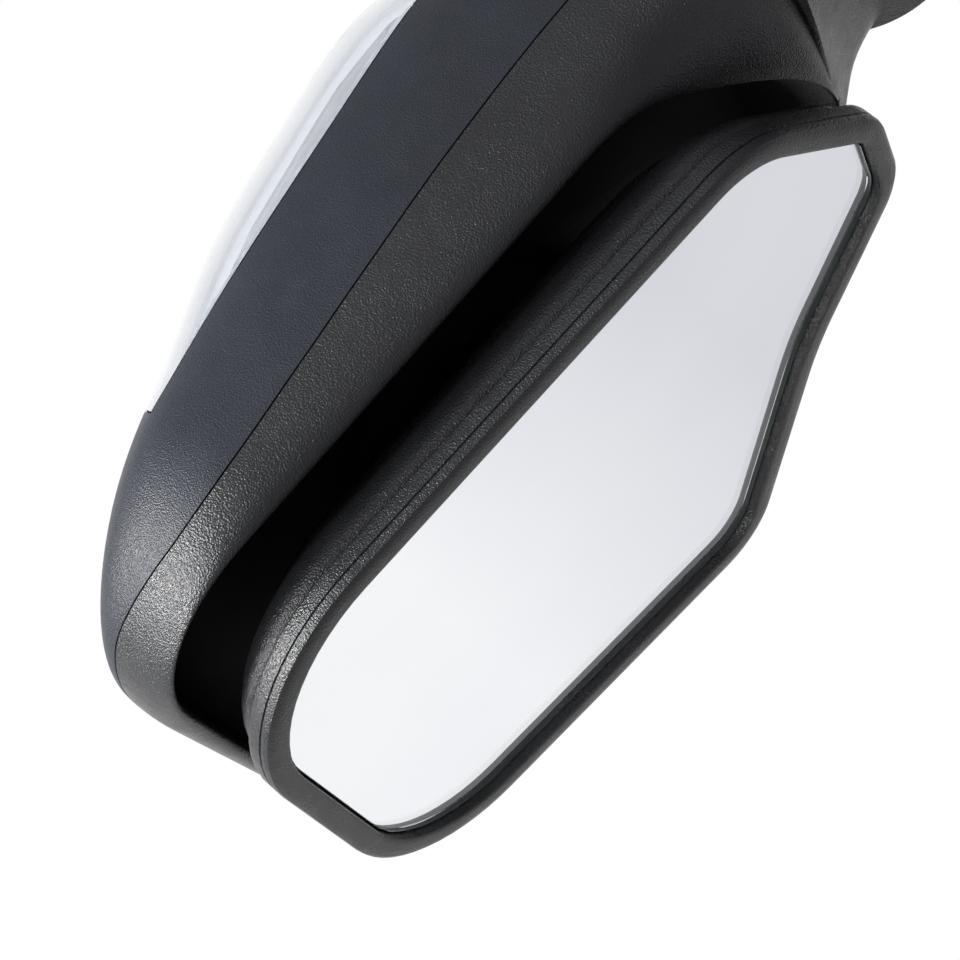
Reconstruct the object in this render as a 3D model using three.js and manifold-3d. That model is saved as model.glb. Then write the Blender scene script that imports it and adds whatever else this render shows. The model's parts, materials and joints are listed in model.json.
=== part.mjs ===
// Right-hand car door mirror: foot on the door, folding head, power-adjusted glass and a side turn signal.
// Millimetres. X outboard from the door face, Y towards the front of the car, Z up.
import * as THREE from "three";
import { mergeVertices } from "three/addons/utils/BufferGeometryUtils.js";
import Module from "manifold-3d";

const wasm = await Module();
wasm.setup();

// ---------------------------------------------------------------- driving dimensions
const GAP = 0.3; // between pieces that touch
const SEAM = 0.4; // between the moulded covers
const WALL = 2.6; // moulded cover thickness

const FOLD_X = 42; // vertical fold axis
const BOSS_TOP = -7.2; // top of the foot's metal boss
const KNUCKLE_R = 27; // outer radius of foot and neck round the fold axis
const HEAD_BOTTOM = -4; // underside of the head's knuckle
const NECK_TOP = 44;
const FLOOR_Z = -27; // underside of the housing

// Outlines seen from behind, as corners [x, z, corner radius].
const GLASS_CORNERS = [
  [266, -2.8, 36],
  [257, 106.5, 33],
  [150.5, 115.4, 14],
  [118.3, 72, 70],
  [85.4, 45.6, 11],
  [85, 24.5, 9],
  [111, -6.1, 22],
];
const OPENING_CORNERS = [
  [273, -19, 30],
  [258.3, 122, 30],
  [150, 126, 20],
  [113, 80, 60],
  [78, 55, 14],
  [77, 24, 42],
  [120, -19, 34],
];
const BODY_CORNERS = [
  [283, FLOOR_Z, 47.5],
  [260, 130, 34],
  [146, 136, 30],
  [103, 88, 60],
  [70, NECK_TOP, 20],
  [10, NECK_TOP, 6],
  [10, FLOOR_Z, 6],
];
const FAN_CENTRE = [222, 50]; // ribs fan out from here round the outboard end
const SPINE = [[42, 10], [60, 22], [79, 38], [150, 48], [222, 50]]; // ridge height along x
const FRONT = [
  [42, 27], [55, 31], [75, 38], [110, 46.4], [136, 54.6], [166, 48.7], [196, 39], [224, 22.8], [250, 10.3], [280, -5.5],
]; // how far forward the housing reaches along x
const REAR_FLARE = [[42, 1], [50, 1.5], [60, 2.5], [68, 4], [74, 6.5], [79, 8.5], [86, 6.5], [95, 3.6], [105, 1.5], [118, 0]];
const REAR_ROUNDING = 16; // depth of the rolled rear edge
const FRONT_POWER = 2.9; // how boxy the front dome is
const TUNNEL_END = -11; // the opening's inner wall runs forward to here
const TUNNEL_WALL = 2.2;

// Seams seen from above: rear bezel to front covers, and front cover to lamp.
const BEZEL_SEAM = [
  [30, -2], [111, -3.5], [150, -7.4], [183, -12.7], [203, -16.2], [232, -20.8], [246, -21.3], [255, -20],
  [263, -18], [271, -15.5], [300, -11],
];
const LAMP_X = [96, 231];
const LAMP_EDGE = [[90, 35.5], [231, 4.5]];
const LAMP_TOP = 18;
const CAP_OUTLINE = [[58, 52], [100, 19], [205, 19], [262, 62], [300, 66], [300, 150], [58, 150]];

const LIP_Y = -50; // front plane of the glass holder
const GLASS_RECESS = 2.2;
const GLASS_T = 2;
const RIM_W = 6;
const PIVOT = [176, -24, 50]; // centre of the glass adjustment
const LEVER = 25; // jackscrew distance from the pivot
const CASE_R = 38;
const CASE_FLOOR = 8.5;
const CASE_JOINT = -2;
const CASE_TOP = -14;
const WHEEL_TEETH = 24;
const WHEEL_R = 9;
const WORM_R = 2.6;
const WORM_LEAD = (2 * Math.PI * WHEEL_R) / WHEEL_TEETH;
const FRAME_Y = [9, 12.5];
const PLATE_X = [2.8, 8];

// ---------------------------------------------------------------- small maths
const add2 = (a, b, k = 1) => [a[0] + b[0] * k, a[1] + b[1] * k];
const unit = (a) => [a[0] / Math.hypot(a[0], a[1]), a[1] / Math.hypot(a[0], a[1])];
const cross2 = (a, b) => a[0] * b[1] - a[1] * b[0];

// Smooth curve through [x, y] stations.
function smooth(stations, x) {
  const last = stations.length - 1;
  const at = Math.min(Math.max(x, stations[0][0]), stations[last][0]);
  let i = 0;
  while (i < last - 1 && at >= stations[i + 1][0]) i++;
  const slope = (k) => {
    const a = stations[Math.max(k - 1, 0)];
    const b = stations[Math.min(k + 1, last)];
    return (b[1] - a[1]) / (b[0] - a[0]);
  };
  const h = stations[i + 1][0] - stations[i][0];
  const t = (at - stations[i][0]) / h;
  return (2 * t ** 3 - 3 * t ** 2 + 1) * stations[i][1] + (t ** 3 - 2 * t ** 2 + t) * h * slope(i)
    + (3 * t ** 2 - 2 * t ** 3) * stations[i + 1][1] + (t ** 3 - t ** 2) * h * slope(i + 1);
}

// Polygon with rounded corners, moved outwards by grow. Corners run anticlockwise.
function rounded(corners, grow = 0, arc = 3) {
  const n = corners.length;
  const edge = (i) => {
    const a = corners[(i + n) % n];
    const b = corners[(i + 1 + n) % n];
    const d = unit([b[0] - a[0], b[1] - a[1]]);
    return { p: add2(a, [d[1], -d[0]], grow), d };
  };
  const points = [];
  const moved = corners.map((c, i) => {
    const e = edge(i - 1);
    const f = edge(i);
    const t = cross2(add2(f.p, e.p, -1), f.d) / cross2(e.d, f.d);
    return add2(e.p, e.d, t);
  });
  moved.forEach((b, i) => {
    const a = moved[(i - 1 + n) % n];
    const c = moved[(i + 1) % n];
    const u = unit(add2(a, b, -1));
    const v = unit(add2(c, b, -1));
    const convex = cross2(add2(b, a, -1), add2(c, b, -1)) > 0;
    const radius = Math.max(corners[i][2] + (convex ? grow : -grow), 1);
    const half = Math.acos(u[0] * v[0] + u[1] * v[1]) / 2;
    const start = add2(b, u, radius / Math.tan(half));
    const end = add2(b, v, radius / Math.tan(half));
    const centre = add2(b, unit(add2(u, v)), radius / Math.sin(half));
    const from = Math.atan2(start[1] - centre[1], start[0] - centre[0]);
    let turn = Math.atan2(end[1] - centre[1], end[0] - centre[0]) - from;
    turn -= 2 * Math.PI * Math.round(turn / (2 * Math.PI));
    for (let k = 0; k <= arc; k++) {
      const w = from + (turn * k) / arc;
      points.push([centre[0] + radius * Math.cos(w), centre[1] + radius * Math.sin(w)]);
    }
  });
  return points;
}

// Distance along a ray to the farthest crossing of an outline.
function reach(outline, origin, dir) {
  let far = 0;
  outline.forEach((a, i) => {
    const e = add2(outline[(i + 1) % outline.length], a, -1);
    const w = add2(a, origin, -1);
    const den = cross2(dir, e);
    if (Math.abs(den) < 1e-12) return;
    const t = cross2(w, e) / den;
    const s = cross2(w, dir) / den;
    if (s >= -1e-9 && s <= 1 + 1e-9 && t > far) far = t;
  });
  return far;
}

// Extra points on the long edges of an outline.
function refine(outline, step) {
  return outline.flatMap((a, i) => {
    const b = outline[(i + 1) % outline.length];
    const pieces = Math.floor(Math.hypot(b[0] - a[0], b[1] - a[1]) / step) + 1;
    return Array.from({ length: pieces }, (_, k) => add2(a, add2(b, a, -1), k / pieces));
  });
}

// ---------------------------------------------------------------- solids
function solid(geometry) {
  geometry.deleteAttribute("normal");
  geometry.deleteAttribute("uv");
  const merged = mergeVertices(geometry, 1e-4);
  const vertProperties = new Float32Array(merged.attributes.position.array);
  const triVerts = new Uint32Array(merged.index.array);
  return new wasm.Manifold(new wasm.Mesh({ numProp: 3, vertProperties, triVerts }));
}

function geometryOf(body) {
  const mesh = body.getMesh();
  const geometry = new THREE.BufferGeometry();
  geometry.setAttribute("position", new THREE.Float32BufferAttribute(mesh.vertProperties, 3));
  geometry.setIndex(Array.from(mesh.triVerts));
  geometry.computeVertexNormals();
  return geometry;
}

const union = (...bodies) => bodies.reduce((a, b) => a.add(b));
const cut = (body, ...tools) => tools.reduce((a, b) => a.subtract(b), body);

function box([x0, x1], [y0, y1], [z0, z1]) {
  const g = new THREE.BoxGeometry(x1 - x0, y1 - y0, z1 - z0);
  return solid(g.translate((x0 + x1) / 2, (y0 + y1) / 2, (z0 + z1) / 2));
}

// Cylinder along an axis from a to b (coordinates on that axis), centred on the other two.
function rod(axis, [u, v], [a, b], r, segments = 24) {
  const g = new THREE.CylinderGeometry(r, r, b - a, segments);
  const mid = (a + b) / 2;
  if (axis === "x") g.rotateZ(-Math.PI / 2).translate(mid, u, v);
  if (axis === "y") g.translate(u, mid, v);
  if (axis === "z") g.rotateX(Math.PI / 2).translate(u, v, mid);
  return solid(g);
}

const tube = (axis, at, span, outer, inner, segments = 24) =>
  cut(rod(axis, at, span, outer, segments), rod(axis, at, [span[0] - 1, span[1] + 1], inner, segments));

// Prism of an outline: in XZ along Y, in XY along Z, or in YZ along X.
const BASES = {
  y: [[1, 0, 0], [0, 0, 1], [0, -1, 0]],
  z: [[1, 0, 0], [0, 1, 0], [0, 0, 1]],
  x: [[0, 1, 0], [0, 0, 1], [1, 0, 0]],
};
function prism(axis, outline, [a, b]) {
  const shape = new THREE.Shape(outline.map(([p, q]) => new THREE.Vector2(p, q)));
  const g = new THREE.ExtrudeGeometry(shape, { depth: b - a, bevelEnabled: false });
  const [u, v, w] = BASES[axis].map((e) => new THREE.Vector3(...e));
  g.applyMatrix4(new THREE.Matrix4().makeBasis(u, v, w));
  if (axis === "y") g.translate(0, b, 0);
  if (axis === "x") g.translate(a, 0, 0);
  if (axis === "z") g.translate(0, 0, a);
  return solid(g);
}

// Closed skin over rings of [x, y, z] points; the end rings are capped as seen from behind.
function loft(rings, closed) {
  const n = rings[0].length;
  const index = [];
  const count = closed ? rings.length : rings.length - 1;
  for (let i = 0; i < count; i++) {
    const next = (i + 1) % rings.length;
    for (let k = 0; k < n; k++) {
      const k2 = (k + 1) % n;
      index.push(i * n + k, i * n + k2, next * n + k2, i * n + k, next * n + k2, next * n + k);
    }
  }
  if (!closed) {
    [[rings[0], 0, true], [rings[rings.length - 1], (rings.length - 1) * n, false]].forEach(([ring, base, flip]) => {
      const flat = ring.map((p) => new THREE.Vector2(p[0], p[2]));
      THREE.ShapeUtils.triangulateShape(flat, []).forEach(([a, b, c]) => {
        index.push(base + a, base + (flip ? c : b), base + (flip ? b : c));
      });
    });
  }
  const g = new THREE.BufferGeometry();
  g.setAttribute("position", new THREE.Float32BufferAttribute(rings.flat(2), 3));
  g.setIndex(index);
  return outward(g);
}

function outward(g) {
  const p = g.attributes.position;
  const ids = g.index.array;
  const [a, b, c] = [0, 1, 2].map(() => new THREE.Vector3());
  let volume = 0;
  for (let i = 0; i < ids.length; i += 3) {
    a.fromBufferAttribute(p, ids[i]);
    b.fromBufferAttribute(p, ids[i + 1]);
    c.fromBufferAttribute(p, ids[i + 2]);
    volume += a.dot(b.cross(c));
  }
  if (volume < 0) for (let i = 0; i < ids.length; i += 3) [ids[i + 1], ids[i + 2]] = [ids[i + 2], ids[i + 1]];
  return solid(g);
}

// ---------------------------------------------------------------- housing surface
const openingY = (x, z) => -29.6 - 0.03 * (x - 170) + 0.06 * (z + 19) - smooth(REAR_FLARE, x);

// Where each rib starts: spine point, direction, distance to the opening edge.
function ribStarts() {
  let edge = refine(rounded(OPENING_CORNERS, 0, 3), 19);
  const left = edge.reduce((best, p, i) => (p[0] < edge[best][0] ? i : best), 0);
  edge = [...edge.slice(left), ...edge.slice(0, left)];
  const ridge = (x) => smooth(SPINE, x);
  const neck = [42, 52, 62, 71];
  const below = neck.map((x) => ({ s: [x, ridge(x)], d: [0, -1], re: 0 }));
  const above = neck.map((x) => ({ s: [x, ridge(x)], d: [0, 1], re: 0 })).reverse();
  let side = -1;
  const round = edge.map((p, i) => {
    if (p[0] > FAN_CENTRE[0]) {
      side = 1;
      const d = add2(p, FAN_CENTRE, -1);
      return { s: FAN_CENTRE, d: unit(d), re: Math.hypot(d[0], d[1]) };
    }
    const s = [p[0], ridge(p[0])];
    return { s, d: [0, side], re: i ? Math.max((p[1] - s[1]) * side, 0.6) : 0.6 };
  });
  return [...below, ...round, ...above];
}
const RIBS = ribStarts();

// Closed body inside the housing surface, moved inwards by inset.
function housingBody(inset = 0, back = 3, front = 6) {
  const outline = rounded(BODY_CORNERS, -inset, 12);
  const ribs = RIBS.map(({ s, d, re }) => {
    const ro = reach(outline, s, d);
    const at = (r, y) => { const p = add2(s, d, r); return [p[0], y(p[0], p[1]), p[1]]; };
    const rib = [];
    const rolled = re > 0 ? 1 : 0.4;
    for (let k = 0; k <= back; k++) {
      const t = ((k / back) * Math.PI) / 2;
      const q = 1 - Math.cos(t) ** rolled;
      const r = Math.max(re + (ro - re) * Math.sin(t) ** rolled, 0.6);
      rib.push(at(r, (x, z) => openingY(x, z) + inset + (REAR_ROUNDING - inset) * q));
    }
    for (let k = 1; k <= front; k++) {
      const t = ((k / front) * Math.PI) / 2;
      const r = Math.max(ro * Math.cos(t) ** (2 / FRONT_POWER), 0.6);
      const q = Math.sin(t) ** (2 / FRONT_POWER);
      rib.push(at(r, (x, z) => {
        const y0 = openingY(x, z) + REAR_ROUNDING;
        return y0 + (smooth(FRONT, x) - inset - y0) * q;
      }));
    }
    return rib;
  });
  const rings = ribs[0].map((_, j) => ribs.map((rib) => rib[j]));
  return loft(rings, false);
}

const planBehind = (curve, shift) => {
  const line = Array.from({ length: 28 }, (_, k) => 30 + (k * 270) / 27)
    .map((x) => [x, smooth(curve, x) + shift]);
  return [[30, -90], [300, -90], ...line.reverse()];
};

function housingShell() {
  const knuckle = rod("z", [FOLD_X, 0], [HEAD_BOTTOM, NECK_TOP], KNUCKLE_R, 28);
  const hollow = rod("z", [FOLD_X, 0], [HEAD_BOTTOM + WALL, NECK_TOP - WALL], KNUCKLE_R - WALL, 28);
  const clearance = (grow) => union(
    rod("z", [FOLD_X, 0], [-60, HEAD_BOTTOM + grow], KNUCKLE_R + 1 + grow, 28),
    box([0, FOLD_X + 12 + grow], [-60, 60], [-60, HEAD_BOTTOM + grow]),
  );
  const clearFoot = clearance(0);
  const liner = clearance(WALL);
  const hubHole = rod("z", [FOLD_X, 0], [-60, 0], 17.8, 24);
  const outer = cut(union(housingBody(0), knuckle), clearFoot);
  const inner = union(cut(housingBody(WALL), liner), hollow);
  const opening = prism("y", rounded(OPENING_CORNERS, -0.05), [-80, TUNNEL_END + 1]);
  const tunnel = cut(
    prism("y", rounded(OPENING_CORNERS, TUNNEL_WALL), [-80, TUNNEL_END]).intersect(outer),
    opening,
  );
  return { skin: cut(outer, inner, opening, hubHole), tunnel };
}

// Plan region of the lamp and the front-view region of the cap, both shrunk by a margin.
const lampRegion = (margin) => {
  const x0 = LAMP_X[0] + margin;
  const x1 = LAMP_X[1] - margin;
  const y = (x) => smooth(LAMP_EDGE, x) + margin;
  return prism("z", [[x0, y(x0)], [x1, y(x1)], [x1, 90], [x0, 90]], [-60, LAMP_TOP - margin]);
};
const capRegion = (shift) => prism("y", CAP_OUTLINE.map(([x, z]) => [x, z + shift]), [-60, 90]);

// Boss for a screw from the frame, on the end of the opening's inner wall.
const BEZEL_SCREWS = [[150, -16.9], [178, -16.9], [190, 121.5]];

function covers() {
  const { skin, tunnel } = housingShell();
  const behind = prism("z", planBehind(BEZEL_SEAM, -SEAM / 2), [-80, 170]);
  const notFront = prism("z", planBehind(BEZEL_SEAM, SEAM / 2), [-80, 170]);
  const aroundTunnel = prism("y", rounded(OPENING_CORNERS, TUNNEL_WALL + SEAM), [-80, TUNNEL_END + SEAM]);
  const front = cut(skin, notFront, aroundTunnel);
  const bosses = BEZEL_SCREWS.map(([x, z]) =>
    tube("y", [x, z], [TUNNEL_END - 4, FRAME_Y[0] - GAP], 3.6, 1.6, 16));
  const lampOpen = lampRegion(-SEAM / 2);
  return {
    bezel: union(skin.intersect(behind), tunnel, ...bosses),
    lower_cover: cut(front, capRegion(-SEAM / 2), lampOpen),
    upper_cap: cut(front.intersect(capRegion(SEAM / 2)), lampOpen),
    signal_lens: front.intersect(lampRegion(SEAM / 2)),
  };
}

// Closing panel behind the opening, round the actuator.
function innerPanel() {
  const [px, , pz] = PIVOT;
  const y = [TUNNEL_END + GAP, TUNNEL_END + GAP + 1.6];
  const through = [y[0] - 1, y[1] + 1];
  return cut(
    prism("y", rounded(OPENING_CORNERS, 1.6), y).intersect(housingBody(WALL + GAP)),
    rod("y", [px, pz], through, CASE_R + 0.6, 32),
    ...BEZEL_SCREWS.map((at) => rod("y", at, through, 4.2, 16)),
  );
}

function lamp() {
  const tray = cut(housingBody(WALL + GAP), housingBody(15)).intersect(lampRegion(1));
  const hollow = cut(housingBody(WALL - 0.5), housingBody(13)).intersect(lampRegion(2.8));
  const board = cut(housingBody(11), housingBody(12.6)).intersect(lampRegion(8));
  const optic = cut(housingBody(5), housingBody(6.6)).intersect(lampRegion(3.2));
  return {
    lamp_housing: cut(tray, hollow),
    led_board: board,
    lamp_optic: optic,
  };
}

// ---------------------------------------------------------------- glass holder
function holderRings(profile) {
  const centre = [PIVOT[0], PIVOT[2]];
  return profile.map(([grow, scale, y]) =>
    rounded(GLASS_CORNERS, grow, 3).map((p) => {
      const q = add2(centre, add2(p, centre, -1), scale);
      return [q[0], y, q[1]];
    }));
}

function glassHolder() {
  // Closed section: [outward offset, scale about the middle, y]
  const section = [
    [0, 1, LIP_Y], [4.8, 1, LIP_Y], [RIM_W, 1, LIP_Y + 1.2], [RIM_W, 1, -43.6], [5.2, 1, -42.9],
    [2, 1, -42.8], [1.5, 0.995, -40.6], [1.2, 0.98, -37.4], [0.8, 0.955, -34], [0, 0.92, -30.8],
    [0, 0.86, -27.4], [0, 0.78, -24.4], [0, 0.68, -22],
    [0, 0.68, -24], [0, 0.78, -26.5], [0, 0.85, -29.4], [0, 0.905, -32.4], [-0.4, 0.95, -36], [-0.9, 0.985, -39.4],
    [-0.9, 1, -42.4], [0, 1, -44.6],
  ];
  const plate = prism("y", rounded(GLASS_CORNERS, 0.6, 3), [-44.6, -42.4]);
  return union(loft(holderRings(section), true), plate);
}

function glassPack() {
  const front = LIP_Y + GLASS_RECESS;
  return {
    mirror_glass: prism("y", rounded(GLASS_CORNERS, -GAP, 3), [front, front + GLASS_T]),
    heater_pad: prism("y", rounded(GLASS_CORNERS, -3, 3), [front + GLASS_T + 0.25, front + GLASS_T + 0.95]),
    glass_holder: glassHolder(),
  };
}

function backingPlate() {
  const [px, py, pz] = PIVOT;
  const disc = rod("y", [px, pz], [-42.1, -39.4], 38, 28);
  const socket = ([x, z]) => cut(
    rod("y", [x, z], [-40, py + 4], 7.6, 20),
    rod("y", [x, z], [py - 5.2, py + 6], 5.1, 20),
  );
  const ear = (side) => cut(
    box([px + side * 14.8 - 1.6, px + side * 14.8 + 1.6], [-40, py + 3.6], [pz - 4, pz + 4]),
    rod("x", [py, pz], [px + side * 14.8 - 3, px + side * 14.8 + 3], 2.3, 16),
  );
  return union(disc, socket([px, pz - LEVER]), socket([px + LEVER, pz]), ear(-1), ear(1));
}

function gimbalRing() {
  const [px, py, pz] = PIVOT;
  const ring = tube("y", [px, pz], [py - 2.6, py + 2.6], 11.6, 8.4, 28);
  const pins = [-1, 1].flatMap((s) => [
    rod("x", [py, pz], [px + s * 13.2 - 3.2, px + s * 13.2 + 3.2], 2, 16),
    rod("z", [px, py], [pz + s * 13.2 - 3.2, pz + s * 13.2 + 3.2], 2, 16),
  ]);
  return union(ring, ...pins);
}

// ---------------------------------------------------------------- actuator
const ACTUATOR_SCREWS = [[153, 60], [192, 27], [166, 76]];

function actuatorCase() {
  const [px, py, pz] = PIVOT;
  const cup = (y0, y1, f0, f1) => cut(rod("y", [px, pz], [y0, y1], CASE_R, 32), rod("y", [px, pz], [f0, f1], CASE_R - 2, 32));
  const ear = (side) => cut(
    box([px - 4, px + 4], [py - 3.6, CASE_TOP + 1], [pz + side * 14.8 - 1.6, pz + side * 14.8 + 1.6]),
    rod("z", [px, py], [pz + side * 14.8 - 3, pz + side * 14.8 + 3], 2.3, 16),
  );
  const screwHoles = ACTUATOR_SCREWS.map((at) => rod("y", at, [5, 10], 2.2, 12));
  const guides = [[px, pz - LEVER], [px + LEVER, pz]];
  const cover = union(cup(CASE_TOP, CASE_JOINT - GAP, CASE_TOP + 2, 0), ear(-1), ear(1));
  return {
    actuator_base: cut(cup(CASE_JOINT, CASE_FLOOR, CASE_JOINT - 1, CASE_FLOOR - 2), ...screwHoles),
    actuator_cover: cut(cover, ...guides.map((at) => rod("y", at, [CASE_TOP - 1, CASE_TOP + 3], 5.4, 20))),
  };
}

// Gear with straight flanks round the Y axis at [x, z]; a gap faces +Z when phase is 0.
function wormWheel([x, z], phase) {
  const outline = [];
  for (let i = 0; i < WHEEL_TEETH; i++) {
    [[-0.5, -1.15], [-0.27, -1.15], [-0.1, 0.85], [0.1, 0.85], [0.27, -1.15]].slice(1).forEach(([a, h]) => {
      const w = ((i + 0.5 + a) / WHEEL_TEETH) * 2 * Math.PI + phase;
      outline.push([x + (WHEEL_R + h) * Math.sin(w), z + (WHEEL_R + h) * Math.cos(w)]);
    });
  }
  return cut(prism("y", outline.reverse(), [-6.5, -1]), rod("y", [x, z], [-8, 1], 3.4, 14));
}

// Single-start worm along +X at the origin; a thread crest meets the wheel at x = 0 on its -Z side.
function worm() {
  const steps = 6;
  const turns = 5;
  const section = [[-0.62, 1.5], [-0.2, WORM_R + 0.75], [0.2, WORM_R + 0.75], [0.62, 1.5]];
  const ring = (i) => {
    const a = (i / steps) * 2 * Math.PI;
    const x = (i / steps - turns / 2) * WORM_LEAD;
    return section.map(([dx, r]) => [x + dx, r * Math.sin(a), r * Math.cos(a)]);
  };
  const rings = Array.from({ length: turns * steps + 1 }, (_, i) => ring(i));
  const end = (turns / 2) * WORM_LEAD + 1.4;
  return union(strip(rings), rod("x", [0, 0], [-end, end + 1.2], 1.75, 12));
}

// Bar swept through rings of four points.
function strip(rings) {
  const n = rings[0].length;
  const index = [];
  for (let i = 0; i < rings.length - 1; i++) {
    for (let k = 0; k < n; k++) {
      const k2 = (k + 1) % n;
      index.push(i * n + k, i * n + k2, (i + 1) * n + k2, i * n + k, (i + 1) * n + k2, (i + 1) * n + k);
    }
  }
  const e = (rings.length - 1) * n;
  index.push(0, 2, 1, 0, 3, 2, e, e + 1, e + 2, e, e + 2, e + 3);
  const g = new THREE.BufferGeometry();
  g.setAttribute("position", new THREE.Float32BufferAttribute(rings.flat(2), 3));
  g.setIndex(index);
  return outward(g);
}

function drives() {
  const [px, py, pz] = PIVOT;
  const mesh = WORM_R + WHEEL_R + 0.25;
  const jack = ([x, z]) => union(
    rod("y", [x, z], [py + 2, 2], 3, 14),
    solid(new THREE.SphereGeometry(4.5, 14, 8).translate(x, py, z)),
  );
  const motor = (axis, at, [a, b], nose) => union(
    rod(axis, at, [a, b], 5.5, 20),
    rod(axis, at, nose > b ? [b - 0.5, nose] : [nose, a + 0.5], 2.6, 16),
  );
  const low = [px, pz - LEVER];
  const side = [px + LEVER, pz];
  const wormY = -3.75;
  const upright = new THREE.Matrix4().makeRotationY(-Math.PI / 2);
  const wormX = worm();
  const place = (body, matrix) => solid(geometryOf(body).applyMatrix4(matrix));
  const vertical = new THREE.Matrix4().makeTranslation(low[0], wormY, low[1] + mesh)
    .multiply(new THREE.Matrix4().makeRotationZ(Math.PI));
  const horizontal = new THREE.Matrix4().makeTranslation(side[0] - mesh, wormY, side[1]).multiply(upright);
  return {
    motor_vertical: motor("x", [wormY, low[1] + mesh], [px - 24, px - 12], px - 9),
    motor_horizontal: motor("z", [side[0] - mesh, wormY], [pz + 12, pz + 24], pz + 9),
    worm_vertical: place(wormX, vertical),
    worm_horizontal: place(wormX, horizontal),
    wheel_vertical: wormWheel(low, 0),
    wheel_horizontal: wormWheel(side, -Math.PI / 2),
    jackscrew_vertical: jack(low),
    jackscrew_horizontal: jack(side),
  };
}

// ---------------------------------------------------------------- frame of the head
function headFrame() {
  const [px, , pz] = PIVOT;
  const hub = rod("z", [FOLD_X, 0], [-3.9, 12], 16.5, 24);
  const arm = box([FOLD_X + 4, 146], [-6, FRAME_Y[1]], [0, 12]);
  const plate = prism("y", rounded([[214, 92, 8], [138, 92, 8], [138, 19, 8], [214, 19, 8]]), FRAME_Y);
  const window_ = rod("y", [px, pz], [0, 20], 15, 24);
  const feet = [box([144, 156], FRAME_Y, [-20.2, 24]), box([172, 184], FRAME_Y, [-20.2, 24]), box([184, 196], FRAME_Y, [88, 126])];
  const holes = [...ACTUATOR_SCREWS, ...BEZEL_SCREWS].map((at) => rod("y", at, [0, 20], 2.2, 12));
  const gusset = prism("z", [[110, FRAME_Y[0]], [146, FRAME_Y[0]], [146, -6], [110, -6]], [11, 22]);
  return cut(union(hub, arm, plate, gusset, ...feet), window_, ...holes,
    rod("z", [FOLD_X, 0], [-10, 20], 9.3, 20));
}

function screw(axis, at, headFrom, headTo, tip, r) {
  const head = headTo > headFrom ? [headFrom, headTo] : [headTo, headFrom];
  const shank = tip < headFrom ? [tip, headFrom + 0.1] : [headFrom - 0.1, tip];
  const slotDepth = headTo > headFrom ? [headTo - 0.9, headTo + 1] : [headTo - 1, headTo + 0.9];
  return cut(union(rod(axis, at, head, r * 2, 12), rod(axis, at, shank, r, 8)), rod(axis, at, slotDepth, r * 0.9, 6));
}

// ---------------------------------------------------------------- foot on the door
const FOOT_OUTLINE = [[46, -32, 9], [50, 30, 12], [4, 46, 16], [-40, 28, 12], [-44, -32, 9]]; // [y, z, radius]
const STUDS = [[34, -20], [-30, -20], [2, 30]];

function foot() {
  const outline = (grow) => rounded(FOOT_OUTLINE, grow, 3);
  const cable = rod("x", [0, -17], [-30, FOLD_X], 8.8, 20);
  const shanks = STUDS.map((at) => rod("x", at, [-30, 20], 3.3, 14));
  const heads = STUDS.map((at) => rod("x", at, [4.1, 20], 5.4, 18));
  const bore = rod("z", [FOLD_X, 0], [-13, 0], 9.3, 20);
  const drop = rod("z", [FOLD_X, 0], [-20, 0], 6.2, 20);
  const bracket = cut(
    union(
      prism("x", outline(0), PLATE_X),
      rod("z", [FOLD_X, 0], [-26.2, BOSS_TOP], 23.8, 28),
      box([PLATE_X[0], FOLD_X], [-17.8, 17.8], [-26.2, BOSS_TOP]),
    ),
    rod("x", [0, -17], [-30, FOLD_X], 8.8, 20), bore, drop, ...shanks, ...heads,
  );
  const plan = (grow) => prism("z", rounded([
    [-8, -35, 1], [12, -35, 3], [20, -20.5, 5], [FOLD_X, -20.5, 1],
    [FOLD_X, 20.5, 1], [20, 20.5, 5], [12, 39, 3], [-8, 39, 1],
  ], grow, 2), grow ? [-26.6, -7] : [-29, HEAD_BOTTOM - 0.6]);
  const boss = (grow) => rod("z", [FOLD_X, 0], grow ? [-26.6, -7] : [-29, HEAD_BOTTOM - 0.6], KNUCKLE_R + grow, 28);
  const inside = union(plan(-2.4), boss(-2.4));
  const skinPlate = prism("x", outline(0), [PLATE_X[1] + GAP, PLATE_X[1] + 2.5]);
  const cover = cut(
    union(plan(0), boss(0), skinPlate),
    inside,
    box([-20, PLATE_X[1] + GAP], [-60, 60], [-60, 60]),
    rod("z", [FOLD_X, 0], [-12, 0], 17, 24),
  );
  return {
    door_gasket: cut(prism("x", outline(0.8), [0, 2.5]), ...shanks, rod("x", [0, -17], [-2, 4], 8.8, 20)),
    foot_bracket: bracket,
    foot_cover: cover,
    cable_grommet: cut(
      union(rod("x", [0, -17], [-8, 12], 8.5, 20), rod("x", [0, -17], [-8, -5.5], 11, 20)),
      rod("x", [0, -17], [-20, 20], 4.5, 16),
    ),
  };
}

function pivotParts() {
  const at = [FOLD_X, 0];
  class Helix extends THREE.Curve {
    getPoint(t) {
      const a = t * 2 * Math.PI * 3.5;
      return new THREE.Vector3(FOLD_X + 12.6 * Math.cos(a), 12.6 * Math.sin(a), 14.2 + t * 12.6);
    }
  }
  const wire = new THREE.Shape(Array.from({ length: 6 }, (_, k) =>
    new THREE.Vector2(1.5 * Math.cos((k * Math.PI) / 3), 1.5 * Math.sin((k * Math.PI) / 3))));
  const coil = new THREE.ExtrudeGeometry(wire, { steps: 40, extrudePath: new Helix(), bevelEnabled: false });
  return {
    pivot_post: tube("z", at, [-12.7, 34], 9, 6, 20),
    thrust_washer: tube("z", at, [BOSS_TOP + GAP, -4.2], 15.5, 9.3, 20),
    fold_spring: solid(coil),
    spring_retainer: tube("z", at, [28.6, 31], 15.5, 9.3, 20),
    lock_ring: tube("z", at, [31.3, 33], 11.5, 9.3, 20),
  };
}

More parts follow.
